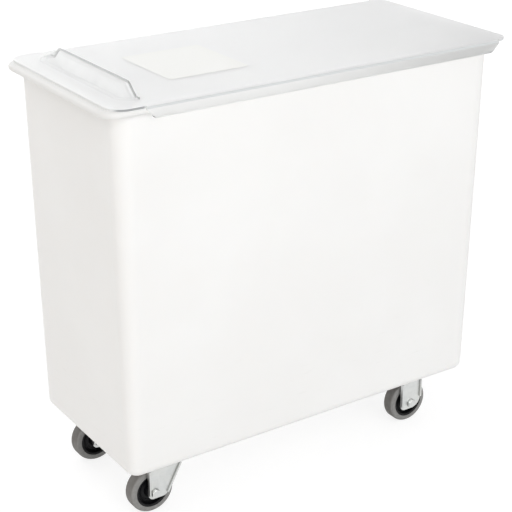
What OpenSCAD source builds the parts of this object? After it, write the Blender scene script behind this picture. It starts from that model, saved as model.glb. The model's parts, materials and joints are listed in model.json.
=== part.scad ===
// Rolling flour bin: a tapered tub on two swivel and two fixed castors, with a clear sliding lid.
// Millimetres, +Z up, origin on the floor under the middle, +X towards the fixed castors.

/* [Tub] */
// outside length of the tub under its rim
tub_l = 674; // [520:1:900]
// outside width of the tub under its rim
tub_w = 308; // [250:1:460]
// height from the underside of the tub to the top of its rim
tub_h = 582.6; // [400:0.1:750]
// how far each wall leans in between the rim and the underside
lean = 7; // [3:0.5:12]
// radius of the upright corners at the rim
corner_r = 27; // [24:0.5:45]
// radius round the bottom edge
foot_r = 15; // [8:0.5:16]
// thickness of the walls
wall_t = 5; // [3:0.5:7]
// thickness of the floor
floor_t = 10; // [9.5:0.5:14]
// radius round the inside of the floor
inner_r = 11; // [6:0.5:14]

/* [Rim] */
// how far the rim stands out at the two ends
rim_end = 19.5; // [10:0.5:22]
// how far the rim stands out along the two sides
rim_side = 8.2; // [6:0.1:12]
// thickness of the rim's flat
rim_t = 4.5; // [3:0.1:6]
// outer radius of the rim's corners
rim_r = 27; // [26:0.5:45]
// height of the rim's turned-down edge
bead_h = 10.5; // [7:0.1:14]
// thickness of the turned-down edge
bead_t = 4; // [3:0.1:5]
// radius of the turned-down edge's rolled outer face
bead_round = 5; // [4:0.1:6]

/* [Lid] */
// thickness of the clear sheet
sheet_t = 3; // [2:0.1:4]
// outer radius of the sheet's bends
bend_r = 5; // [4.5:0.1:8]
// radius of the lid's corners
lid_r = 27; // [15:0.5:45]
// clearance between the sheet and the rim's top
lid_gap = 0.4; // [0.3:0.05:1]
// clearance between the skirts and the rim's edge
side_gap = 0.8; // [0.4:0.05:2]
// free height between the rim's edge and the return lips
hook_gap = 4.1; // [2:0.1:8]
// clearance between the return lips and the tub's wall
lip_gap = 2; // [1:0.1:4]
// rim left showing at the handle end
rim_show = 10.5; // [0:0.5:12]
// how far the lid reaches past the rim at the other end
lid_past = 8.5; // [5:0.5:25]
// distance from the lid's handle end to its skirts
skirt_start = 52; // [35:0.5:80]
// distance from the lid's other end to its skirts
skirt_end = 25; // [15:0.5:60]
// slant of the skirts' ends, measured along the lid
skirt_slant = 15; // [5:0.5:25]

/* [Lid handle] */
// depth of the handle's hood along the bin
grip_w = 22.5; // [20:0.5:30]
// length of the hood's upper edge
grip_l = 212; // [140:1:220]
// height of the hood above the lid
grip_h = 19; // [16:0.5:20]
// thickness of the hood
grip_t = 3; // [2:0.1:3.5]
// distance from the lid's end to the hood's open edge
grip_in = 58.5; // [45:0.5:90]
// steepness of the hood's ends in degrees
grip_a = 40; // [30:1:60]
// outer radius of the hood's upper corners
grip_bend = 6; // [4:0.1:8]
// corner radius of the hood on the lid
grip_round = 18; // [10:0.5:19]
// width of the flange round the hood
grip_foot = 6; // [3:0.5:10]
// thickness of the flange round the hood
foot_t = 2.5; // [1.5:0.1:4]

/* [Castor places] */
// height from the floor to the underside of the tub
castor_h = 96; // [92:0.5:125]
// distance between the wheels of a pair
track = 186; // [150:1:190]
// distance from the tub's end to the kingpins
swivel_in = 89; // [75:0.5:130]
// distance from the tub's other end to the fixed axles
fixed_in = 95.5; // [70:0.5:130]

/* [Castor plates] */
// length of a castor plate
plate_l = 77; // [72:0.5:90]
// width of a castor plate
plate_w = 67; // [62:0.5:80]
// thickness of a castor plate
plate_t = 3; // [2:0.1:4]
// corner radius of a castor plate
plate_r = 6; // [2:0.5:10]
// spacing of the plate's holes along the bin
hole_l = 61.5; // [60:0.1:64]
// spacing of the plate's holes across the bin
hole_w = 51.5; // [50:0.1:54]

/* [Swivel heads] */
// distance the axle trails behind the kingpin
trail = 24; // [18:0.5:30]
// radius of the kingpin
king_r = 6; // [4:0.1:8]
// radius of the kingpin's rivet head
king_head_r = 10; // [8.5:0.1:12]
// height of the kingpin's rivet head
king_head_h = 4; // [2:0.1:5]
// radius of the fork's round crown
crown_r = 29; // [26:0.5:31]
// height of the dished edge round the crown
dish_h = 3; // [1:0.1:4]
// thickness of the dished edge
dish_t = 2.5; // [1.5:0.1:4]
// free height between the castor plate and the crown
crown_gap = 6.5; // [5.5:0.1:8]
// radius of the ball circle
race_r = 20; // [15:0.5:22]
// depth of the ball grooves
race_deep = 0.4; // [0.2:0.05:0.8]
// radius of the washer under the crown
race_washer_r = 14; // [12:0.1:14.4]
// thickness of the washer under the crown
race_washer_t = 2; // [1:0.1:3]

/* [Forks] */
// thickness of the pressed fork sheet
fork_t = 3; // [2:0.1:4]
// outer radius of the fork's bends
fork_bend = 5; // [4.5:0.1:7]
// distance the fork's legs reach below the axle
leg_low = 10.5; // [9:0.1:14]
// distance from the axle to a swivel leg's upright edge
heel = 10.5; // [9:0.1:14]
// corner radius at the foot of a leg's upright edge
heel_r = 8; // [4:0.1:9]
// corner radius at the foot of a swivel leg's swept edge
toe_r = 10; // [6:0.1:14]
// steepness of a swivel leg's swept edge in degrees
sweep_a = 62; // [55:0.5:75]
// half width of a fixed fork's legs
fixed_half = 21; // [16:0.5:24]
// corner radius at the other foot of a fixed leg
fixed_toe_r = 19; // [9:0.5:20]
// width of the stiffening edges turned out along the legs
edge_w = 3.5; // [2:0.1:5]
// thickness of the stiffening edges
edge_t = 2.5; // [1.5:0.1:4]

/* [Wheels] */
// diameter of a wheel over its tyre
wheel_d = 75; // [66:0.5:80]
// width of a tyre
tyre_w = 23; // [20:0.5:26]
// radius of the tyre's shoulders
shoulder_r = 5; // [3:0.1:7]
// radius of the hub under the tyre
hub_r = 28; // [25:0.5:30]
// height of the key that holds the tyre
key_h = 1.5; // [0.5:0.1:2]
// width of the key that holds the tyre
key_w = 9; // [6:0.5:12]
// width of the hub's rim
hub_w = 22; // [18:0.5:24]
// thickness of the hub's rim
hub_rim = 3.6; // [2.5:0.1:5]
// thickness of the hub's web
web_t = 8; // [5:0.5:12]
// rise of the hub's web towards its boss
web_rise = 2; // [0.5:0.1:4]
// width of the raised ring on the hub's web
ring_w = 3.2; // [2:0.1:5]
// height of the raised ring on the hub's web
ring_h = 1.4; // [0.5:0.1:2]
// width of the bevels on the hub's edges
hub_edge = 0.8; // [0.3:0.1:1.2]
// radius of the hub's boss
boss_r = 11; // [9:0.1:14]
// length of the hub's boss
boss_l = 30; // [28:0.5:34]

/* [Axles] */
// radius of an axle bolt
axle_r = 4; // [3:0.1:5]
// width across the flats of the axle's head and nut
axle_af = 13; // [11:0.5:17]
// height of an axle bolt's head
axle_head = 5.3; // [4:0.1:7]
// height of an axle nut
axle_nut = 6.5; // [5:0.1:8]
// height of the locking collar on an axle nut
collar_h = 1.8; // [1:0.1:2.5]
// how much the locking collar narrows to its top
collar_taper = 0.8; // [0.3:0.1:1.2]
// width of the bevel on the faces of heads and nuts
head_edge = 0.4; // [0.2:0.05:0.6]
// length of thread showing past the nut
axle_past = 2; // [0.5:0.1:4]
// outer radius of an axle sleeve
sleeve_r = 6; // [5.5:0.1:7.5]
// side play between the hub's boss and the fork
boss_gap = 0.5; // [0.3:0.05:1]

/* [Castor bolts] */
// radius of a castor bolt
bolt_r = 3; // [2.5:0.1:4]
// width across the flats of a castor bolt's head
bolt_af = 10; // [8:0.5:11]
// height of a castor bolt's head
bolt_head = 4; // [3:0.1:4.5]
// radius of a bolt washer
washer_r = 6; // [5.5:0.1:6.5]
// thickness of a bolt washer
washer_t = 1.6; // [1:0.1:2]
// outer radius of a threaded insert
insert_r = 4.5; // [4:0.1:5.5]
// length of a threaded insert
insert_l = 8.5; // [6:0.1:9]
// depth left free past the end of a bolt
bolt_end = 1; // [0.5:0.1:3]

/* [Clearances] */
// radial clearance of a shaft that turns in its bore
run_gap = 0.05; // [0.02:0.01:0.1]
// radial clearance of a bolt in its hole
bolt_gap = 0.2; // [0.05:0.05:0.5]
// gap between faces that turn past each other
turn_gap = 0.3; // [0.2:0.05:0.6]
// gap between a ball and the groove that it sits in
seat_gap = 0.02; // [0.01:0.01:0.05]

/* [Hidden] */
$fn = 64;
overlap = 1;
reach = 2000;
bend_steps = 8;
chamfer_a = 30;

rim_z = castor_h + tub_h;
lean_a = atan(lean / tub_h);
base_l = tub_l / 2 - lean;
base_w = tub_w / 2 - lean;
base_r = corner_r - lean;
foot_round = min(foot_r, base_r - overlap);
cave_z = castor_h + floor_t;
cave_in = wall_t - floor_t * tan(lean_a);
cave_round = min(inner_r, base_r - cave_in - overlap);
rim_hl = tub_l / 2 + rim_end;
rim_hw = tub_w / 2 + rim_side;

lid_z = rim_z + lid_gap + sheet_t;
lid_l = 2 * rim_hl - rim_show + lid_past;
lid_hw = rim_hw + side_gap + sheet_t;
skirt_h = 2 * sheet_t + lid_gap + bead_h + hook_gap;
lip_y = tub_w / 2 + lip_gap;
bin_x = -lid_past / 2;
lid_x0 = bin_x - rim_hl + rim_show;
lid_x1 = lid_x0 + lid_l;
skirt_x0 = lid_x0 + skirt_start;
skirt_x1 = lid_x1 - skirt_end;
hood_r = (grip_w * grip_w + grip_h * grip_h) / (2 * grip_h);
hood_foot = grip_l / 2 + grip_h / tan(grip_a);

swivel_x = bin_x - tub_l / 2 + swivel_in;
fixed_x = bin_x + tub_l / 2 - fixed_in;
wheel_r = wheel_d / 2;
plate_z = castor_h - plate_t;
crown_z = plate_z - crown_gap;
crown_z0 = crown_z - fork_t;
ball_r = crown_gap / 2 + race_deep;
ball_z = plate_z - crown_gap / 2;
ball_n = floor(180 / asin((ball_r + turn_gap) / race_r));
leg_y0 = boss_l / 2 + boss_gap;
leg_y1 = leg_y0 + fork_t;
edge_top = crown_z0 - fork_bend - wheel_r;
sweep_x = trail + crown_r - overlap;
sweep_z = crown_z - wheel_r;
toe_z = toe_r - leg_low;
toe_x = sweep_x + ((toe_z - sweep_z) * cos(sweep_a) - toe_r) / sin(sweep_a);
toe_end = [toe_x + toe_r * sin(sweep_a), toe_z - toe_r * cos(sweep_a)];
web_r0 = boss_r + web_rise;
web_r1 = hub_r - hub_rim - hub_edge;
ring_r = (web_r0 + web_r1) / 2;

clear_white = [0.86, 0.9, 0.92, 0.35];
tub_white = [0.95, 0.95, 0.93];
zinc = [0.76, 0.78, 0.78];
black = [0.05, 0.05, 0.05];
tyre_grey = [0.42, 0.42, 0.41];
brass = [0.78, 0.62, 0.3];

// half section of a leaning wall with a rounded foot, x from the middle, y up
module wall_section(base, z0, z1, round) {
    foot_x = base + round * tan(lean_a) - round / cos(lean_a);
    intersection() {
        union() {
            polygon([
                [0, z0],
                [foot_x, z0],
                [foot_x + round * cos(lean_a), z0 + round - round * sin(lean_a)],
                [base + (z1 - z0) * tan(lean_a), z1],
                [0, z1]
            ]);
            translate([foot_x, z0 + round])
                circle(round);
        }
        translate([0, z0])
            square([reach, z1 - z0]);
    }
}

module round_rect(half_l, half_w, r) {
    square([2 * half_l, 2 * (half_w - r)], center = true);
    square([2 * (half_l - r), 2 * half_w], center = true);
    for (sx = [-1, 1])
        for (sy = [-1, 1])
            translate([sx * (half_l - r), sy * (half_w - r)])
                circle(r);
}

// sweeps a section round a rectangle with rounded corners, x of the section from the corner centres
module sweep_round(half_l, half_w, r) {
    for (s = [0, 1])
        mirror([s, 0, 0])
            translate([half_l - r, 0, 0])
                rotate([90, 0, 0])
                    linear_extrude(2 * (half_w - r), center = true)
                        children();
    for (s = [0, 1])
        mirror([0, s, 0])
            translate([0, half_w - r, 0])
                rotate([90, 0, 90])
                    linear_extrude(2 * (half_l - r), center = true)
                        children();
    for (sx = [0, 1])
        for (sy = [0, 1])
            mirror([sx, 0, 0])
                mirror([0, sy, 0])
                    translate([half_l - r, half_w - r, 0])
                        rotate_extrude(angle = 90)
                            children();
}

// solid with four leaning walls, cone corners and a rounded bottom edge; sizes are taken at z0
module leaning_block(half_l, half_w, r, z0, z1, round) {
    translate([r - half_l, r - half_w, z0])
        cube([2 * (half_l - r), 2 * (half_w - r), z1 - z0]);
    sweep_round(half_l, half_w, r)
        wall_section(r, z0, z1, round);
}

// section of the rim's rolled edge, x from the corner centres, y up
module bead_section() {
    intersection() {
        union() {
            for (z = [rim_z - bead_round, rim_z - bead_h + bead_round])
                translate([rim_r - bead_round, z])
                    circle(bead_round);
            translate([rim_r - bead_round, rim_z - bead_h + bead_round])
                square([bead_round, bead_h - 2 * bead_round]);
        }
        union() {
            translate([rim_r - bead_t, rim_z - bead_h])
                square([bead_t, bead_h]);
            translate([rim_r - bead_round, rim_z - rim_t])
                square([bead_round, rim_t]);
        }
    }
    translate([rim_r - bead_round - overlap, rim_z - rim_t])
        square([overlap, rim_t]);
}

module castor_hole_places() {
    for (cx = [swivel_x, fixed_x])
        for (cy = [-1, 1])
            for (hx = [-1, 1])
                for (hy = [-1, 1])
                    translate([cx + hx * hole_l / 2, cy * track / 2 + hy * hole_w / 2, 0])
                        children();
}

module bin_body() {
    color(tub_white)
        difference() {
            union() {
                translate([bin_x, 0, 0]) {
                    leaning_block(base_l, base_w, base_r, castor_h, rim_z, foot_round);
                    translate([0, 0, rim_z - rim_t])
                        linear_extrude(rim_t)
                            round_rect(rim_hl - bead_round, rim_hw - bead_round, rim_r - bead_round);
                    sweep_round(rim_hl, rim_hw, rim_r)
                        bead_section();
                }
            }
            translate([bin_x, 0, 0])
                leaning_block(
                    base_l - cave_in,
                    base_w - cave_in,
                    base_r - cave_in,
                    cave_z,
                    rim_z + overlap,
                    cave_round
                );
            castor_hole_places()
                translate([0, 0, castor_h - overlap])
                    cylinder(insert_l + overlap, insert_r, insert_r);
        }
}

// section of a bend of the lid's sheet, a quarter of a ring
module sheet_bend() {
    difference() {
        circle(bend_r);
        circle(bend_r - sheet_t);
        translate([-bend_r - overlap, -bend_r - overlap])
            square([bend_r + overlap, 2 * (bend_r + overlap)]);
        translate([-overlap, -bend_r - overlap])
            square([bend_r + 2 * overlap, bend_r + overlap]);
    }
}

// section of a bent skirt with its return lip, x across the lid, y up
module skirt_section() {
    low = lid_z - skirt_h;
    translate([lid_hw - bend_r, lid_z - bend_r])
        sheet_bend();
    translate([lid_hw - sheet_t, low + bend_r])
        square([sheet_t, skirt_h - 2 * bend_r]);
    translate([lid_hw - bend_r, low + bend_r])
        mirror([0, 1])
            sheet_bend();
    translate([lip_y, low])
        square([lid_hw - bend_r - lip_y, sheet_t]);
    translate([lid_hw - bend_r - overlap, lid_z - sheet_t])
        square([overlap, sheet_t]);
}

module lid() {
    low = lid_z - skirt_h;
    color(clear_white) {
        difference() {
            translate([(lid_x0 + lid_x1) / 2, 0, lid_z - sheet_t])
                linear_extrude(sheet_t)
                    round_rect(lid_l / 2, lid_hw, lid_r);
            for (s = [0, 1])
                mirror([0, s, 0])
                    translate([skirt_x0, lid_hw - bend_r, lid_z - 2 * sheet_t])
                        cube([skirt_x1 - skirt_x0, reach, 3 * sheet_t]);
        }
        intersection() {
            for (s = [0, 1])
                mirror([0, s, 0])
                    translate([skirt_x0, 0, 0])
                        rotate([90, 0, 90])
                            linear_extrude(skirt_x1 - skirt_x0)
                                skirt_section();
            rotate([90, 0, 0])
                linear_extrude(reach, center = true)
                    polygon([
                        [skirt_x0, lid_z + overlap],
                        [skirt_x0, lid_z - 2 * sheet_t],
                        [skirt_x0 + skirt_slant, low],
                        [skirt_x1 - skirt_slant, low],
                        [skirt_x1, lid_z - 2 * sheet_t],
                        [skirt_x1, lid_z + overlap]
                    ]);
        }
    }
}

// points along an arc between two directions, in degrees
function arc(middle, r, from, to) = [
    for (k = [0 : bend_steps])
        let (a = from + (to - from) * k / bend_steps)
            middle + r * [cos(a), sin(a)]
];

function flipped(points) = [
    for (k = [len(points) - 1 : -1 : 0])
        [-points[k][0], points[k][1]]
];

// outline of the hood across the bin, inset from its outer face, x across the lid, y up from it
module hood_front(inset) {
    r = grip_bend - inset;
    half = concat(
        arc([grip_l / 2 - grip_bend * tan(grip_a / 2), grip_h - grip_bend], r, 90, 90 - grip_a),
        [[hood_foot - inset / sin(grip_a) + overlap / tan(grip_a), -overlap]]
    );
    polygon(concat(half, flipped(half)));
}

// quarter-round space under the hood's outer face, inset from it, with slanted ends and rounded corners
module hood_space(inset, past) {
    intersection() {
        rotate([90, 0, 0])
            linear_extrude(reach, center = true)
                intersection() {
                    translate([0, grip_h - hood_r])
                        circle(hood_r - inset);
                    translate([-reach + past, -past])
                        square([reach, reach]);
                }
        rotate([90, 0, 90])
            linear_extrude(reach, center = true)
                hood_front(inset);
        linear_extrude(reach, center = true)
            round_rect(grip_w - inset, hood_foot - inset, grip_round - inset);
    }
}

module lid_handle() {
    color(clear_white)
        translate([lid_x0 + grip_in, 0, lid_z])
            difference() {
                union() {
                    hood_space(0, 0);
                    linear_extrude(foot_t)
                        intersection() {
                            round_rect(grip_w + grip_foot, hood_foot + grip_foot, grip_round + grip_foot);
                            translate([-reach, -reach])
                                square([reach, 2 * reach]);
                        }
                }
                hood_space(grip_t, overlap);
            }
}

module plate_holes() {
    for (hx = [-1, 1])
        for (hy = [-1, 1])
            translate([hx * hole_l / 2, hy * hole_w / 2, plate_z - overlap])
                cylinder(plate_t + 2 * overlap, bolt_r + bolt_gap, bolt_r + bolt_gap);
}

module plate_blank() {
    difference() {
        translate([0, 0, plate_z])
            linear_extrude(plate_t)
                round_rect(plate_l / 2, plate_w / 2, plate_r);
        plate_holes();
    }
}

module ball_groove(gap) {
    rotate_extrude()
        translate([race_r, ball_z])
            circle(ball_r + gap);
}

module swivel_plate() {
    difference() {
        plate_blank();
        translate([0, 0, plate_z - overlap])
            cylinder(plate_t + 2 * overlap, king_r, king_r);
        ball_groove(seat_gap);
    }
}

module kingpin() {
    seat = crown_z0 - turn_gap - race_washer_t;
    rotate_extrude()
        polygon([
            [0, seat - king_head_h],
            [king_head_r - king_head_h / 2, seat - king_head_h],
            [king_head_r, seat - king_head_h / 2],
            [king_head_r, seat],
            [king_r, seat],
            [king_r, castor_h - turn_gap],
            [0, castor_h - turn_gap]
        ]);
}

module swivel_balls() {
    for (k = [0 : ball_n - 1])
        rotate([0, 0, k * 360 / ball_n])
            translate([race_r, 0, ball_z])
                sphere(ball_r);
}

module race_washer() {
    translate([0, 0, crown_z0 - turn_gap - race_washer_t])
        difference() {
            cylinder(race_washer_t, race_washer_r, race_washer_r);
            translate([0, 0, -overlap])
                cylinder(race_washer_t + 2 * overlap, king_r + run_gap, king_r + run_gap);
        }
}

// outline of a round-topped arch, x across, y up from the floor
module arch(half, top, r) {
    translate([-half, 0])
        square([2 * half, top - r]);
    translate([r - half, 0])
        square([2 * (half - r), top]);
    for (s = [-1, 1])
        translate([s * (half - r), top - r])
            circle(r);
}

// section of a sheet bent over the wheel
module fork_section(top) {
    difference() {
        arch(leg_y1, top, fork_bend);
        translate([0, -overlap])
            arch(leg_y0, top + overlap - fork_t, fork_bend - fork_t);
    }
}

// side outline of a swivel leg, from the axle, x towards the kingpin, y up
module swivel_leg() {
    polygon([
        [-heel, sweep_z],
        [-heel, heel_r - leg_low],
        [heel_r - heel, -leg_low],
        [toe_x, -leg_low],
        toe_end,
        [sweep_x, sweep_z]
    ]);
    translate([heel_r - heel, heel_r - leg_low])
        circle(heel_r);
    translate([toe_x, toe_z])
        circle(toe_r);
}

// the strips along a swivel leg's two edges that are turned out
module swivel_edges() {
    top = [sweep_x - (sweep_z - edge_top) / tan(sweep_a), edge_top];
    inward = [-sin(sweep_a), cos(sweep_a)];
    intersection() {
        swivel_leg();
        union() {
            translate([-heel - overlap, heel_r - leg_low])
                square([edge_t + overlap, edge_top + leg_low - heel_r]);
            polygon([
                toe_end - overlap * inward,
                top - overlap * inward,
                top + edge_t * inward,
                toe_end + edge_t * inward
            ]);
        }
    }
}

// side outline of a fixed leg, from the axle
module fixed_leg() {
    top = plate_z + overlap - wheel_r;
    polygon([
        [-fixed_half, top],
        [-fixed_half, heel_r - leg_low],
        [heel_r - fixed_half, -leg_low],
        [fixed_half - fixed_toe_r, -leg_low],
        [fixed_half, fixed_toe_r - leg_low],
        [fixed_half, top]
    ]);
    translate([heel_r - fixed_half, heel_r - leg_low])
        circle(heel_r);
    translate([fixed_half - fixed_toe_r, fixed_toe_r - leg_low])
        circle(fixed_toe_r);
}

module fixed_edges() {
    translate([-fixed_half, heel_r - leg_low])
        square([edge_t, edge_top + leg_low - heel_r]);
    translate([fixed_half - edge_t, fixed_toe_r - leg_low])
        square([edge_t, edge_top + leg_low - fixed_toe_r]);
}

// a leg outline pushed through the fork's section, with its edges turned out on both sides
module pressed_fork(top) {
    intersection() {
        rotate([90, 0, 90])
            linear_extrude(reach, center = true)
                fork_section(top);
        translate([0, 0, wheel_r])
            rotate([90, 0, 0])
                linear_extrude(reach, center = true)
                    children(0);
    }
    for (s = [0, 1])
        mirror([0, s, 0])
            translate([0, leg_y1 + edge_w, wheel_r])
                rotate([90, 0, 0])
                    linear_extrude(fork_t + edge_w)
                        children(1);
}

module axle_hole() {
    translate([0, 0, wheel_r])
        rotate([90, 0, 0])
            cylinder(reach, axle_r + run_gap, axle_r + run_gap, center = true);
}

module swivel_fork() {
    difference() {
        union() {
            translate([-trail, 0, 0])
                pressed_fork(crown_z) {
                    swivel_leg();
                    swivel_edges();
                }
            translate([0, 0, crown_z0])
                cylinder(fork_t, crown_r, crown_r);
            rotate_extrude()
                translate([crown_r - dish_t, crown_z0])
                    square([dish_t, fork_t + dish_h]);
        }
        translate([0, 0, crown_z0 - overlap])
            cylinder(fork_t + 2 * overlap, king_r + run_gap, king_r + run_gap);
        ball_groove(turn_gap);
        translate([-trail, 0, 0])
            axle_hole();
    }
}

module fixed_fork() {
    difference() {
        union() {
            pressed_fork(plate_z + overlap) {
                fixed_leg();
                fixed_edges();
            }
            plate_blank();
        }
        axle_hole();
    }
}

// the pieces below lie along Y through the axle, which is their origin
module along_axle() {
    rotate([90, 0, 0])
        children();
}

// hexagon with its upper face chamfered round
module hex_head(flats, h) {
    corner = flats / sqrt(3);
    face = flats / 2 - head_edge;
    intersection() {
        rotate(30)
            cylinder(h, corner, corner, $fn = 6);
        rotate_extrude()
            polygon([
                [0, -overlap],
                [corner + overlap, -overlap],
                [corner + overlap, h - (corner + overlap - face) * tan(chamfer_a)],
                [face, h],
                [0, h]
            ]);
    }
}

module axle_bolt() {
    along_axle() {
        translate([0, 0, leg_y1])
            hex_head(axle_af, axle_head);
        translate([0, 0, -leg_y1 - axle_nut - axle_past])
            cylinder(2 * leg_y1 + axle_nut + axle_past + overlap, axle_r, axle_r);
    }
}

module axle_nut() {
    hex_h = axle_nut - collar_h;
    collar_r = axle_af / 2 - head_edge;
    along_axle()
        mirror([0, 0, 1])
            translate([0, 0, leg_y1])
                difference() {
                    union() {
                        hex_head(axle_af, hex_h);
                        translate([0, 0, hex_h - overlap])
                            cylinder(collar_h + overlap, collar_r, collar_r - collar_taper);
                    }
                    translate([0, 0, -overlap])
                        cylinder(axle_nut + 2 * overlap, axle_r + run_gap, axle_r + run_gap);
                }
}

module axle_sleeve() {
    along_axle()
        difference() {
            cylinder(2 * leg_y0, sleeve_r, sleeve_r, center = true);
            cylinder(2 * leg_y0 + 2 * overlap, axle_r + run_gap, axle_r + run_gap, center = true);
        }
}

// section of the ridge that keys the tyre to the hub, x from the axle, y along it
module key_section() {
    polygon([
        [hub_r - overlap, -key_w / 2 - key_h - overlap],
        [hub_r + key_h, -key_w / 2],
        [hub_r + key_h, key_w / 2],
        [hub_r - overlap, key_w / 2 + key_h + overlap]
    ]);
}

// half thickness of the hub's web at a distance from the axle
function web_half(r) = web_t / 2 + web_rise * (web_r1 - r) / (web_r1 - web_r0);

// half outline of the hub and its key, from the bore out to the middle of the key
function hub_half() = [
    [sleeve_r + run_gap, boss_l / 2],
    [boss_r - hub_edge, boss_l / 2],
    [boss_r, boss_l / 2 - hub_edge],
    [web_r0, web_half(web_r0)],
    [ring_r - ring_w / 2, web_half(ring_r - ring_w / 2)],
    [ring_r - ring_w / 4, web_half(ring_r) + ring_h],
    [ring_r + ring_w / 4, web_half(ring_r) + ring_h],
    [ring_r + ring_w / 2, web_half(ring_r + ring_w / 2)],
    [web_r1, web_half(web_r1)],
    [hub_r - hub_rim, hub_w / 2 - hub_edge],
    [hub_r - hub_rim + hub_edge, hub_w / 2],
    [hub_r, hub_w / 2],
    [hub_r, key_w / 2 + key_h],
    [hub_r + key_h, key_w / 2]
];

module wheel_hub() {
    half = hub_half();
    last = len(half) - 1;
    along_axle()
        rotate_extrude()
            polygon(concat(half, [for (k = [0 : last]) [half[last - k][0], -half[last - k][1]]]));
}

module wheel_tyre() {
    along_axle()
        rotate_extrude()
            difference() {
                intersection() {
                    round_rect(wheel_r, tyre_w / 2, shoulder_r);
                    translate([hub_r, -reach])
                        square([reach, 2 * reach]);
                }
                key_section();
            }
}

module at_castor(x, side) {
    translate([x, side * track / 2, 0])
        children();
}

module at_axle(x, side) {
    translate([x, side * track / 2, wheel_r])
        children();
}

module swivel_plate_front() {
    color(zinc)
        at_castor(swivel_x, -1)
            swivel_plate();
}

module kingpin_front() {
    color(zinc)
        at_castor(swivel_x, -1)
            kingpin();
}

module swivel_balls_front() {
    color(zinc)
        at_castor(swivel_x, -1)
            swivel_balls();
}

module race_washer_front() {
    color(zinc)
        at_castor(swivel_x, -1)
            race_washer();
}

module swivel_fork_front() {
    color(zinc)
        at_castor(swivel_x, -1)
            swivel_fork();
}

module swivel_axle_front() {
    color(zinc)
        at_axle(swivel_x - trail, -1)
            axle_bolt();
}

module swivel_nut_front() {
    color(zinc)
        at_axle(swivel_x - trail, -1)
            axle_nut();
}

module swivel_sleeve_front() {
    color(zinc)
        at_axle(swivel_x - trail, -1)
            axle_sleeve();
}

module swivel_hub_front() {
    color(black)
        at_axle(swivel_x - trail, -1)
            wheel_hub();
}

module swivel_tyre_front() {
    color(tyre_grey)
        at_axle(swivel_x - trail, -1)
            wheel_tyre();
}

module swivel_plate_back() {
    color(zinc)
        at_castor(swivel_x, 1)
            swivel_plate();
}

module kingpin_back() {
    color(zinc)
        at_castor(swivel_x, 1)
            kingpin();
}

module swivel_balls_back() {
    color(zinc)
        at_castor(swivel_x, 1)
            swivel_balls();
}

module race_washer_back() {
    color(zinc)
        at_castor(swivel_x, 1)
            race_washer();
}

module swivel_fork_back() {
    color(zinc)
        at_castor(swivel_x, 1)
            swivel_fork();
}

module swivel_axle_back() {
    color(zinc)
        at_axle(swivel_x - trail, 1)
            axle_bolt();
}

module swivel_nut_back() {
    color(zinc)
        at_axle(swivel_x - trail, 1)
            axle_nut();
}

module swivel_sleeve_back() {
    color(zinc)
        at_axle(swivel_x - trail, 1)
            axle_sleeve();
}

module swivel_hub_back() {
    color(black)
        at_axle(swivel_x - trail, 1)
            wheel_hub();
}

module swivel_tyre_back() {
    color(tyre_grey)
        at_axle(swivel_x - trail, 1)
            wheel_tyre();
}

module fixed_fork_front() {
    color(zinc)
        at_castor(fixed_x, -1)
            fixed_fork();
}

module fixed_axle_front() {
    color(zinc)
        at_axle(fixed_x, -1)
            axle_bolt();
}

module fixed_nut_front() {
    color(zinc)
        at_axle(fixed_x, -1)
            axle_nut();
}

module fixed_sleeve_front() {
    color(zinc)
        at_axle(fixed_x, -1)
            axle_sleeve();
}

module fixed_hub_front() {
    color(black)
        at_axle(fixed_x, -1)
            wheel_hub();
}

module fixed_tyre_front() {
    color(tyre_grey)
        at_axle(fixed_x, -1)
            wheel_tyre();
}

module fixed_fork_back() {
    color(zinc)
        at_castor(fixed_x, 1)
            fixed_fork();
}

module fixed_axle_back() {
    color(zinc)
        at_axle(fixed_x, 1)
            axle_bolt();
}

module fixed_nut_back() {
    color(zinc)
        at_axle(fixed_x, 1)
            axle_nut();
}

module fixed_sleeve_back() {
    color(zinc)
        at_axle(fixed_x, 1)
            axle_sleeve();
}

module fixed_hub_back() {
    color(black)
        at_axle(fixed_x, 1)
            wheel_hub();
}

module fixed_tyre_back() {
    color(tyre_grey)
        at_axle(fixed_x, 1)
            wheel_tyre();
}

module castor_bolts() {
    color(zinc)
        castor_hole_places() {
            translate([0, 0, plate_z - washer_t])
                mirror([0, 0, 1])
                    hex_head(bolt_af, bolt_head);
            translate([0, 0, plate_z - washer_t - overlap])
                cylinder(washer_t + overlap + plate_t + insert_l - bolt_end, bolt_r, bolt_r);
        }
}

module castor_washers() {
    color(zinc)
        castor_hole_places()
            translate([0, 0, plate_z - washer_t])
                difference() {
                    cylinder(washer_t, washer_r, washer_r);
                    translate([0, 0, -overlap])
                        cylinder(washer_t + 2 * overlap, bolt_r + bolt_gap, bolt_r + bolt_gap);
                }
}

module floor_inserts() {
    color(brass)
        castor_hole_places()
            translate([0, 0, castor_h])
                difference() {
                    cylinder(insert_l, insert_r, insert_r);
                    translate([0, 0, -overlap])
                        cylinder(insert_l + 2 * overlap, bolt_r + run_gap, bolt_r + run_gap);
                }
}

bin_body();
lid();
lid_handle();
swivel_plate_front();
kingpin_front();
swivel_balls_front();
race_washer_front();
swivel_fork_front();
swivel_axle_front();
swivel_nut_front();
swivel_sleeve_front();
swivel_hub_front();
swivel_tyre_front();
swivel_plate_back();
kingpin_back();
swivel_balls_back();
race_washer_back();
swivel_fork_back();
swivel_axle_back();
swivel_nut_back();
swivel_sleeve_back();
swivel_hub_back();
swivel_tyre_back();
fixed_fork_front();
fixed_axle_front();
fixed_nut_front();
fixed_sleeve_front();
fixed_hub_front();
fixed_tyre_front();
fixed_fork_back();
fixed_axle_back();
fixed_nut_back();
fixed_sleeve_back();
fixed_hub_back();
fixed_tyre_back();
castor_bolts();
castor_washers();
floor_inserts();
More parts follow.
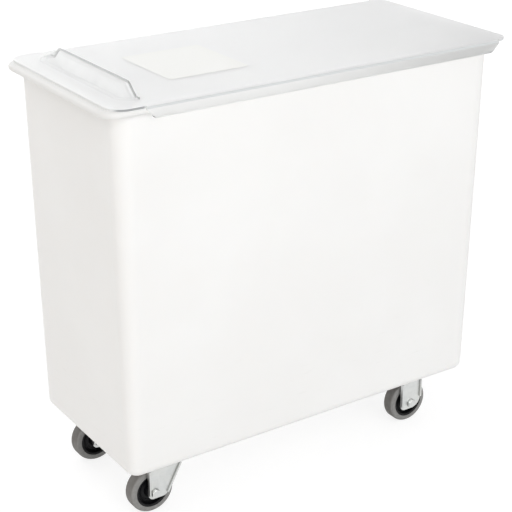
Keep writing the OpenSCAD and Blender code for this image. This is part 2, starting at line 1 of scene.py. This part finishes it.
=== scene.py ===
"""Looks of the rolling flour bin: materials, the lid's bare label, floor, light and camera.

Lengths are in metres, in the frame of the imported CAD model: X along the bin with the lid's handle at -X, the side
that the photograph shows at -Y, and Z up from the floor.
"""

import json
import math

import bmesh
import bpy
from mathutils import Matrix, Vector


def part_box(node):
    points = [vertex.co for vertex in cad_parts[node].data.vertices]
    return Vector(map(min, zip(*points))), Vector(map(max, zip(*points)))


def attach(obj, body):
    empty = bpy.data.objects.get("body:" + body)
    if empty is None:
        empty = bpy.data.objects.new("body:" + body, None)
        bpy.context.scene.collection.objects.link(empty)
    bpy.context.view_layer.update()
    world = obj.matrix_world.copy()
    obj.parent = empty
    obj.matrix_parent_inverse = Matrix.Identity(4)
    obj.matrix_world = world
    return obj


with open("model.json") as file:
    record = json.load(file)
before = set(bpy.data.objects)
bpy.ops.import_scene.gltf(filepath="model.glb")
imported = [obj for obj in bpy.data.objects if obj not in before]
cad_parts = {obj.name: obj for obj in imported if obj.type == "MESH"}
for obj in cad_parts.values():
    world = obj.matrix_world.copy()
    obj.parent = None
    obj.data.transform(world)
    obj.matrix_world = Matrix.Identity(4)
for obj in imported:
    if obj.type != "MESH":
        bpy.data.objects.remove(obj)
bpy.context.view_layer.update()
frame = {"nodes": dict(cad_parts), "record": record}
nodes = frame["nodes"]

# the camera, fitted to the photograph's straight edges and wheel circles
CAMERA_AT = (-1.16545, -1.7260, 1.2283)
CAMERA_YAW, CAMERA_PITCH = math.radians(33.739), math.radians(23.261)
LENS_MM, SENSOR_MM = 97.41, 36.0

# the label's extent on the lid, its thickness and its corner radius
LABEL_X, LABEL_Y = (-0.210, -0.075), (-0.075, 0.070)
LABEL_T, LABEL_R = 0.00012, 0.004

UNIT = (0.0, 1.0)
MID_NOISE = (0.3, 0.7)


class Tree:
    """The node tree of a material or of the world, with short calls for the nodes used here."""

    def __init__(self, owner, output):
        owner.use_nodes = True
        self.owner = owner
        self.nt = owner.node_tree
        self.nt.nodes.clear()
        self.out = self.node(output)

    def node(self, kind, **settings):
        n = self.nt.nodes.new(kind)
        for key, value in settings.items():
            setattr(n, key, value)
        return n

    def put(self, socket, value):
        """Links a socket to another one, or sets its constant."""
        if isinstance(value, bpy.types.NodeSocket):
            self.nt.links.new(value, socket)
        else:
            socket.default_value = value

    def math(self, operation, *values):
        n = self.node("ShaderNodeMath", operation=operation)
        for socket, value in zip(n.inputs, values):
            self.put(socket, value)
        return n.outputs[0]

    def times(self, a, b):
        return self.math("MULTIPLY", a, b)

    def plus(self, a, b):
        return self.math("ADD", a, b)

    def most(self, a, b):
        return self.math("MAXIMUM", a, b)

    def ray(self, kind):
        return self.node("ShaderNodeLightPath").outputs[f"Is {kind} Ray"]

    def seen_ray(self):
        """1 for the rays that look at the background, straight or by way of metal and glass."""
        return self.most(self.most(self.ray("Camera"), self.ray("Glossy")), self.ray("Transmission"))

    def white_glow(self, kind, strength):
        n = self.node(kind)
        n.inputs["Color"].default_value = (1.0, 1.0, 1.0, 1.0)
        n.inputs["Strength"].default_value = strength
        return n.outputs[0]

    def blend(self, share, first, second):
        """Two shaders; share is the part of the second."""
        n = self.node("ShaderNodeMixShader")
        self.put(n.inputs["Fac"], share)
        self.put(n.inputs[1], first)
        self.put(n.inputs[2], second)
        return n.outputs[0]

    def done(self, shader):
        self.put(self.out.inputs["Surface"], shader)
        return self.owner


class Material(Tree):
    """A material's tree, with patterns laid out in the frame's own coordinates."""

    def __init__(self, name):
        super().__init__(bpy.data.materials.new(name), "ShaderNodeOutputMaterial")
        coords = self.node("ShaderNodeTexCoord").outputs
        self.place, self.normal = coords["Object"], coords["Normal"]

    def stretched(self, factors):
        n = self.node("ShaderNodeMapping")
        self.put(n.inputs["Vector"], self.place)
        n.inputs["Scale"].default_value = factors
        return n.outputs[0]

    def noise(self, scale, detail=3.0, rough=0.5, place=None):
        n = self.node("ShaderNodeTexNoise")
        self.put(n.inputs["Vector"], place or self.place)
        n.inputs["Scale"].default_value = scale
        n.inputs["Detail"].default_value = detail
        n.inputs["Roughness"].default_value = rough
        return n.outputs["Fac"]

    def span(self, value, across, to=UNIT):
        """Maps the range across to the range to, with soft ends. A range may run downwards."""
        n = self.node("ShaderNodeMapRange", interpolation_type="SMOOTHSTEP")
        limits = ("From Min", across[0]), ("From Max", across[1]), ("To Min", to[0]), ("To Max", to[1])
        for key, v in (("Value", value), *limits):
            self.put(n.inputs[key], v)
        return n.outputs[0]

    def mix(self, fac, a, b):
        n = self.node("ShaderNodeMix", data_type="RGBA")
        self.put(n.inputs["Factor"], fac)
        for socket, value in ((n.inputs[6], a), (n.inputs[7], b)):
            self.put(socket, value if isinstance(value, bpy.types.NodeSocket) else (*value, 1.0))
        return n.outputs[2]

    def split(self, vector, name):
        n = self.node("ShaderNodeSeparateXYZ")
        self.put(n.inputs[0], vector)
        return n.outputs[name]

    def axis(self, name):
        return self.split(self.place, name)

    def facing(self, name):
        """How squarely the surface faces along an axis, either way."""
        return self.math("ABSOLUTE", self.split(self.normal, name))

    def bump(self, height, strength, distance, under=None):
        n = self.node("ShaderNodeBump")
        self.put(n.inputs["Height"], height)
        n.inputs["Strength"].default_value = strength
        n.inputs["Distance"].default_value = distance
        if under is not None:
            self.put(n.inputs["Normal"], under)
        return n.outputs[0]

    def crease(self, reach):
        """Low where other surfaces stand close by."""
        n = self.node("ShaderNodeAmbientOcclusion", samples=6)
        n.inputs["Distance"].default_value = reach
        return n.outputs["AO"]

    def soft_edges(self, radius):
        n = self.node("ShaderNodeBevel", samples=6)
        n.inputs["Radius"].default_value = radius
        return n.outputs[0]

    def surface(self, **inputs):
        """A Principled shader; an underscore in a keyword stands for a space in the socket's name."""
        n = self.node("ShaderNodeBsdfPrincipled")
        for key, value in inputs.items():
            self.put(n.inputs[key.replace("_", " ")], value)
        return n.outputs[0]

    def see_through(self, share, shader, tint):
        """A shader that lets a share of the light straight through, tinted."""
        clear = self.node("ShaderNodeBsdfTransparent")
        clear.inputs["Color"].default_value = (*tint, 1.0)
        return self.blend(share, shader, clear.outputs[0])


def shifted(pair, by):
    return tuple(by + value for value in pair)


# the tub: height of the rim's band that carries painted shade, where that fades in, and the heights between which
# scuffs fade
RIM_BAND, RIM_SHADE_FADE = 0.0112, 0.0008
SCUFFED_Z = (0.42, 0.10)
TUB_WHITES = (0.885, 0.880, 0.868), (0.905, 0.902, 0.892)
SCUFF_GREY, SCUFF_SHARE, SCUFF_ROUGHER = (0.74, 0.73, 0.70), 0.22, 0.10
# painted shade: the grey streaked over the rim's band, and its share
RIM_SHADE_GREY, RIM_SHADE_SHARE = (0.735, 0.735, 0.725), 0.55


def tub_plastic():
    """White moulded polyethylene: faint blotches, orange-peel skin, scuffs low down, and painted shade streaked over
    the rim's band.
    """
    t = Material("tub_polyethylene")
    height = t.axis("Z")
    rim_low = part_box("bin_body")[1].z - RIM_BAND
    # painted shade on the rim's band, in streaks
    rim_shade_run = t.noise(scale=30.0, detail=4.0, rough=0.6, place=t.stretched((0.3, 0.3, 6.0)))
    on_rim = t.span(height, (rim_low, rim_low + RIM_SHADE_FADE))
    rim_shade = t.times(t.span(rim_shade_run, MID_NOISE, to=(0.75, 1.0)), on_rim)
    scuff_run = t.noise(scale=26.0, detail=5.0, rough=0.65, place=t.stretched((1.0, 1.0, 9.0)))
    scuff = t.times(t.span(scuff_run, (0.60, 0.72)), t.span(height, SCUFFED_Z))
    colour = t.mix(t.span(t.noise(scale=4.0), (0.35, 0.65)), *TUB_WHITES)
    colour = t.mix(t.times(scuff, SCUFF_SHARE), colour, SCUFF_GREY)
    colour = t.mix(t.times(rim_shade, RIM_SHADE_SHARE), colour, RIM_SHADE_GREY)
    satin = t.span(t.noise(scale=60.0, detail=4.0), MID_NOISE, to=(0.36, 0.47))
    peel = t.bump(t.noise(scale=520.0, detail=2.0), strength=0.12, distance=0.0003)
    waves = t.bump(t.noise(scale=7.0, detail=1.0), strength=0.10, distance=0.004, under=peel)
    return t.done(t.surface(
        Base_Color=colour, Roughness=t.plus(satin, t.times(scuff, SCUFF_ROUGHER)), Normal=waves, IOR=1.51,
        Subsurface_Weight=0.08, Subsurface_Radius=(1.0, 0.9, 0.8), Subsurface_Scale=0.006,
    ))


# the lid: bands measured down from its top, up from its return lips and along from its handle end, which mark where
# painted shade darkens the cut edges, the lips' ends and the handle end's corner
CUT_SHADE_BAND, LIP_END_SHADE_BAND, CORNER_SHADE_BAND = (-0.0056, -0.0046), (0.0045, 0.0035), (0.050, 0.046)
# painted shade: the face and skirts greyer towards the end without the handle, the skirts greyer than the face
FACE_SHADE_X, SKIRT_SHADE_X = (-0.10, 0.36), (-0.12, 0.36)
FACE_TONES, FACE_PAINTED_SHADE = ((0.938, 0.941, 0.942), (0.960, 0.963, 0.963)), (0.850, 0.853, 0.854)
SKIRT_SHADED_TONES = (0.895, 0.898, 0.894), (0.690, 0.694, 0.690)
# painted shade: grey cut edges, darker at the corner of the handle end
CUT_SHADE_TONES, CORNER_CUT_SHADE = ((0.66, 0.675, 0.68), (0.82, 0.825, 0.82)), (0.36, 0.37, 0.38)
# painted shade: near black on the ends of the return lips
LIP_END_SHADE = (0.06, 0.06, 0.065)
HAIR_ROUGHER = 0.05
LID_SHADOW_TINT = (0.94, 0.945, 0.945)
ACRYLIC_IOR = 1.49


def lid_sheet():
    """Clear sheet gone milky with use: smears and hairline scratches, with painted shade darkening the cut edges and
    the ends of the return lips. Its face and skirts carry painted shade, greyer towards the end without the handle.
    Lamps shine through it."""
    t = Material("lid_sheet")
    low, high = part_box("lid")
    along, height, facing_x = t.axis("X"), t.axis("Z"), t.facing("X")
    hair_run = t.noise(scale=34.0, detail=6.0, rough=0.75, place=t.stretched((1.0, 14.0, 14.0)))
    hair = t.span(hair_run, (0.66, 0.70))
    smear = t.span(t.noise(scale=9.0, detail=4.0), (0.4, 0.75))
    upright = t.span(t.facing("Z"), (0.80, 0.55))
    # painted shade mask for the cut edges near the top; it also makes them less clear
    shaded_edge = t.times(upright, t.span(height, shifted(CUT_SHADE_BAND, high.z)))
    # painted shade mask for the ends of the return lips
    lip_end_shade = t.times(t.span(facing_x, (0.5, 0.7)), t.span(height, shifted(LIP_END_SHADE_BAND, low.z)))
    # painted shade mask for the cut edge at the handle end's corner
    corner_shade = t.times(t.span(facing_x, (0.85, 0.55)), t.span(along, shifted(CORNER_SHADE_BAND, low.x)))
    # painted shade: face and skirts turn greyer towards the end without the handle
    face = t.mix(t.span(along, FACE_SHADE_X), t.mix(smear, *FACE_TONES), FACE_PAINTED_SHADE)
    shaded_skirt = t.mix(t.span(along, SKIRT_SHADE_X), *SKIRT_SHADED_TONES)
    cut_shade = t.mix(corner_shade, t.mix(t.span(facing_x, (0.6, 0.9)), *CUT_SHADE_TONES), CORNER_CUT_SHADE)
    colour = t.mix(lip_end_shade, t.mix(shaded_edge, t.mix(upright, face, shaded_skirt), cut_shade), LIP_END_SHADE)
    sheet = t.surface(
        Base_Color=colour, IOR=ACRYLIC_IOR, Specular_IOR_Level=0.28,
        Roughness=t.plus(t.times(hair, HAIR_ROUGHER), t.span(smear, UNIT, to=(0.28, 0.33))),
        Transmission_Weight=t.span(shaded_edge, UNIT, to=(0.5, 0.05)),
        Normal=t.bump(t.noise(scale=3.0, detail=1.0), strength=0.06, distance=0.004),
    )
    return t.done(t.see_through(t.ray("Shadow"), sheet, LID_SHADOW_TINT))


# the handle: bands measured from its open edge, and how much painted shade shows there, as a dark line at the edge
# and a fainter one behind it
OPEN_SHADE_BAND, STEP_SHADE_FROM, STEP_SHADE_TO = (-0.0030, -0.0010), (-0.0092, -0.0084), (-0.0064, -0.0072)
OPEN_SHADE_SHARE, STEP_SHADE_SHARE = 0.50, 0.14
HANDLE_TONES, HANDLE_PAINTED_SHADE = ((0.93, 0.937, 0.937), (0.96, 0.965, 0.965)), (0.24, 0.245, 0.25)
HANDLE_TINT = (0.997, 0.998, 0.998)
SLANT_POWER, SLANT_SHARE = 5.0, 0.6


def handle_clear():
    """Clear moulding: the lid shows through it, painted shade darkens its open edge and a line behind it, and it
    shines at a slant.
    """
    t = Material("handle_clear")
    along = t.axis("X")
    open_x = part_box("lid_handle")[1].x
    # painted shade masks: a dark line along the open edge and a fainter one behind it
    shaded_edge = t.span(along, shifted(OPEN_SHADE_BAND, open_x))
    shaded_step = t.times(t.span(along, shifted(STEP_SHADE_FROM, open_x)), t.span(along, shifted(STEP_SHADE_TO, open_x)))
    smear = t.span(t.noise(scale=30.0, detail=4.0), (0.4, 0.75))
    skin = t.surface(
        Base_Color=t.mix(t.most(shaded_edge, shaded_step), t.mix(smear, *HANDLE_TONES), HANDLE_PAINTED_SHADE),
        Roughness=t.span(smear, UNIT, to=(0.05, 0.10)), IOR=ACRYLIC_IOR,
        Normal=t.bump(t.noise(scale=12.0, detail=1.0), strength=0.05, distance=0.002),
    )
    slant = t.math("POWER", t.node("ShaderNodeLayerWeight").outputs["Facing"], SLANT_POWER)
    body = t.plus(t.times(slant, SLANT_SHARE), t.span(smear, UNIT, to=(0.05, 0.09)))
    painted_shade = t.plus(t.times(shaded_edge, OPEN_SHADE_SHARE), t.times(shaded_step, STEP_SHADE_SHARE))
    clear = t.math("SUBTRACT", 1.0, t.most(body, painted_shade))
    return t.done(t.see_through(t.most(clear, t.ray("Shadow")), skin, HANDLE_TINT))


ZINC_TONES = (0.630, 0.645, 0.638), (0.690, 0.701, 0.693)
ZINC_CLOUD, CLOUD_SHARE = (0.67, 0.66, 0.61), 0.3
# painted shade: a dark tone where other surfaces stand close, round the bolts, with its share and reach
CREASE_SHADE_COLOUR, CREASE_SHADE_SHARE, CREASE_SHADE_REACH = (0.16, 0.155, 0.145), 0.75, 0.0035
DRAWN_ROUGHER = 0.10


def zinc_plate():
    """Bright zinc on pressed steel: mottled tone, drawn lines, softened edges and painted shade in the creases round
    the bolts.
    """
    t = Material("bright_zinc")
    mottle = t.span(t.noise(scale=90.0, detail=4.0, rough=0.6), (0.35, 0.65))
    cloud = t.span(t.noise(scale=22.0, detail=2.0), (0.4, 0.7))
    drawn = t.noise(scale=240.0, rough=0.6, place=t.stretched((1.0, 1.0, 0.06)))
    # painted shade in creases
    crease_shade = t.times(t.span(t.crease(CREASE_SHADE_REACH), (0.80, 0.45)), CREASE_SHADE_SHARE)
    colour = t.mix(t.times(cloud, CLOUD_SHARE), t.mix(mottle, *ZINC_TONES), ZINC_CLOUD)
    rough = t.plus(t.span(mottle, UNIT, to=(0.30, 0.38)), t.times(drawn, DRAWN_ROUGHER))
    lines = t.bump(drawn, strength=0.10, distance=0.0002, under=t.soft_edges(0.0007))
    return t.done(t.surface(
        Base_Color=t.mix(crease_shade, colour, CREASE_SHADE_COLOUR), Metallic=1.0, Roughness=rough, Normal=lines,
    ))


HUB_BLACK, HUB_DUST, DUST_SHARE = (0.004, 0.004, 0.005), (0.034, 0.032, 0.030), 0.25


def hub_plastic():
    """Black moulded hub with a fine spark texture and a trace of dust."""
    t = Material("hub_black")
    dust = t.span(t.noise(scale=70.0, detail=5.0, rough=0.6), (0.55, 0.8))
    rough = t.span(t.noise(scale=150.0), MID_NOISE, to=(0.34, 0.46))
    sparks = t.noise(scale=1400.0, detail=2.0)
    return t.done(t.surface(
        Base_Color=t.mix(t.times(dust, DUST_SHARE), HUB_BLACK, HUB_DUST), Roughness=rough,
        Normal=t.bump(sparks, strength=0.15, distance=0.0002, under=t.soft_edges(0.0006)),
        IOR=1.5, Specular_IOR_Level=0.18,
    ))


# the tyres: distance of the wheels' middle planes from the bin's own, and bands measured from a wheel's middle plane
WHEEL_Y = 0.093
TREAD_BAND, SEAM_BAND = (0.0105, 0.0075), (0.0004, 0.0001)
TYRE_WALLS = (0.225, 0.221, 0.215), (0.265, 0.261, 0.253)
# painted shade: the tread's tones, darker than the walls
TREAD_SHADED_TONES = (0.150, 0.143, 0.135), (0.190, 0.183, 0.174)


def tyre_rubber():
    """Grey rubber: speckled walls, a tread painted darker as shade, and a mould parting line round the tread."""
    t = Material("tyre_grey_rubber")
    across = t.math("ABSOLUTE", t.math("SUBTRACT", t.math("ABSOLUTE", t.axis("Y")), WHEEL_Y))
    wall = t.mix(t.span(t.noise(scale=160.0, detail=5.0, rough=0.65), (0.35, 0.7)), *TYRE_WALLS)
    # painted shade: the tread painted darker than the walls
    shaded_tread = t.mix(t.span(t.noise(scale=48.0, detail=4.0), (0.35, 0.7)), *TREAD_SHADED_TONES)
    rough = t.span(t.noise(scale=120.0), MID_NOISE, to=(0.58, 0.74))
    seam = t.bump(t.span(across, SEAM_BAND), strength=0.5, distance=0.0003, under=t.soft_edges(0.0012))
    skin = t.bump(t.noise(scale=900.0), strength=0.25, distance=0.0003, under=seam)
    return t.done(t.surface(
        Base_Color=t.mix(t.span(across, TREAD_BAND), wall, shaded_tread), Roughness=rough, Normal=skin, IOR=1.52,
    ))


BRASS_TONES = (0.60, 0.43, 0.17), (0.72, 0.55, 0.25)


def turned_brass():
    """Turned brass of the floor's inserts: cloudy tone, uneven gloss and softened edges."""
    t = Material("insert_brass")
    colour = t.mix(t.span(t.noise(scale=120.0, detail=4.0), MID_NOISE), *BRASS_TONES)
    rough = t.span(t.noise(scale=300.0), MID_NOISE, to=(0.28, 0.42))
    return t.done(t.surface(Base_Color=colour, Metallic=1.0, Roughness=rough, Normal=t.soft_edges(0.0003)))


LABEL_TONES = (0.945, 0.945, 0.920), (0.962, 0.962, 0.940)


def label_film():
    """Bare pale film label: faint fibre and a few pressed-in bubbles."""
    t = Material("label_film")
    fibre = t.span(t.noise(scale=420.0, detail=4.0, rough=0.6), (0.35, 0.7))
    rough = t.span(t.noise(scale=90.0), MID_NOISE, to=(0.42, 0.55))
    bubbles = t.span(t.noise(scale=120.0, detail=1.0), (0.70, 0.76))
    return t.done(t.surface(
        Base_Color=t.mix(fibre, *LABEL_TONES), Roughness=rough, IOR=1.46,
        Normal=t.bump(bubbles, strength=0.25, distance=0.0003),
    ))


MATERIALS = {
    "tub": tub_plastic(),
    "lid_clear": lid_sheet(),
    "zinc": zinc_plate(),
    "hub": hub_plastic(),
    "tyre": tyre_rubber(),
    "insert": turned_brass(),
}
for part in frame["record"]["subparts"]:
    for slot in nodes[part["node"]].material_slots:
        slot.material = MATERIALS[part["material_slot"]]
for slot in nodes["lid_handle"].material_slots:
    slot.material = handle_clear()


def add_object(name, data):
    holder = bpy.data.objects.new(name, data)
    bpy.context.scene.collection.objects.link(holder)
    return holder


def rounded_outline(x0, x1, y0, y1, r, steps=6):
    """Points round a rectangle with rounded corners, counter-clockwise."""
    corners = ((x1 - r, y1 - r, 0), (x0 + r, y1 - r, 90), (x0 + r, y0 + r, 180), (x1 - r, y0 + r, 270))
    points = []
    for cx, cy, start in corners:
        for k in range(steps + 1):
            angle = math.radians(start + 90 * k / steps)
            points.append((cx + r * math.cos(angle), cy + r * math.sin(angle)))
    return points


def lid_label():
    """A thin film with rounded corners, pressed on the lid's top."""
    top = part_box("lid")[1].z
    outline = rounded_outline(*LABEL_X, *LABEL_Y, LABEL_R)
    bm = bmesh.new()
    face = bm.faces.new([bm.verts.new((x, y, top)) for x, y in outline])
    raised = bmesh.ops.extrude_face_region(bm, geom=[face])["geom"]
    upper = [v for v in raised if isinstance(v, bmesh.types.BMVert)]
    bmesh.ops.translate(bm, verts=upper, vec=(0, 0, LABEL_T))
    bmesh.ops.recalc_face_normals(bm, faces=bm.faces)
    mesh = bpy.data.meshes.new("lid_label")
    bm.to_mesh(mesh)
    bm.free()
    mesh.materials.append(label_film())
    label = add_object("lid_label", mesh)
    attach(label, "lid")


lid_label()

FLOOR_HALF, FLOOR_GREY, FLOOR_GLOW = 9.0, 0.86, 1.2
# the floor turns from shadowed to white between these distances from the middle, by these shares of white
FLOOR_FADE, FLOOR_WHITE = (1.3, 3.2), (0.66, 0.97)
WORLD_LIT, WORLD_SHOWN = 0.55, 1.0
NEUTRAL, WARM = (1.0, 1.0, 1.0), (1.0, 0.90, 0.79)
LAMP_AIM = Vector((0.0, 0.0, 0.40))
LAMPS = (  # name, place, size, watts, tint
    ("key", (-0.2, -2.9, 1.8), 3.1, 52.0, NEUTRAL),
    ("top", (-1.0, 1.65, 1.95), 1.7, 14.0, NEUTRAL),
    ("back", (0.98, 2.1, 1.60), 2.2, 7.4, NEUTRAL),
    ("side", (-2.8, -0.4, 0.70), 1.2, 8.2, WARM),
)


def pale_floor():
    """A floor that keeps the object's shadow and runs out to white."""
    h = FLOOR_HALF
    mesh = bpy.data.meshes.new("floor")
    mesh.from_pydata([(-h, -h, 0), (h, -h, 0), (h, h, 0), (-h, h, 0)], [], [(0, 1, 2, 3)])
    add_object("floor", mesh)
    t = Material("floor_pale")
    plain = t.node("ShaderNodeBsdfDiffuse")
    plain.inputs["Color"].default_value = (FLOOR_GREY, FLOOR_GREY, FLOOR_GREY, 1.0)
    away = t.node("ShaderNodeVectorMath", operation="LENGTH")
    t.put(away.inputs[0], t.place)
    white_share = t.times(t.seen_ray(), t.span(away.outputs["Value"], FLOOR_FADE, to=FLOOR_WHITE))
    glow = t.white_glow("ShaderNodeEmission", FLOOR_GLOW)
    mesh.materials.append(t.done(t.blend(white_share, plain.outputs[0], glow)))


def white_world():
    """A surround that lights the object softly and is seen as white."""
    t = Tree(bpy.data.worlds.new("studio"), "ShaderNodeOutputWorld")
    lit = t.white_glow("ShaderNodeBackground", WORLD_LIT)
    shown = t.white_glow("ShaderNodeBackground", WORLD_SHOWN)
    bpy.context.scene.world = t.done(t.blend(t.seen_ray(), lit, shown))


def soft_lamps():
    """Square lamps, all turned to the middle of the bin."""
    for name, at, size, watts, tint in LAMPS:
        lamp = bpy.data.lights.new(name, "AREA")
        lamp.size = size
        lamp.energy = watts
        lamp.color = tint
        holder = add_object(name, lamp)
        holder.location = at
        holder.visible_camera = False
        holder.rotation_euler = (LAMP_AIM - Vector(at)).to_track_quat("-Z", "Y").to_euler()


def photo_camera():
    """The photograph's viewpoint."""
    lens = bpy.data.cameras.new("camera")
    lens.lens, lens.sensor_width = LENS_MM, SENSOR_MM
    lens.dof.use_dof = False
    holder = add_object("camera", lens)
    holder.location = CAMERA_AT
    looking = Vector((
        math.sin(CAMERA_YAW) * math.cos(CAMERA_PITCH),
        math.cos(CAMERA_YAW) * math.cos(CAMERA_PITCH),
        -math.sin(CAMERA_PITCH),
    ))
    holder.rotation_euler = looking.to_track_quat("-Z", "Y").to_euler()
    bpy.context.scene.camera = holder


pale_floor()
white_world()
soft_lamps()
photo_camera()
bpy.context.scene.view_settings.view_transform = "Standard"
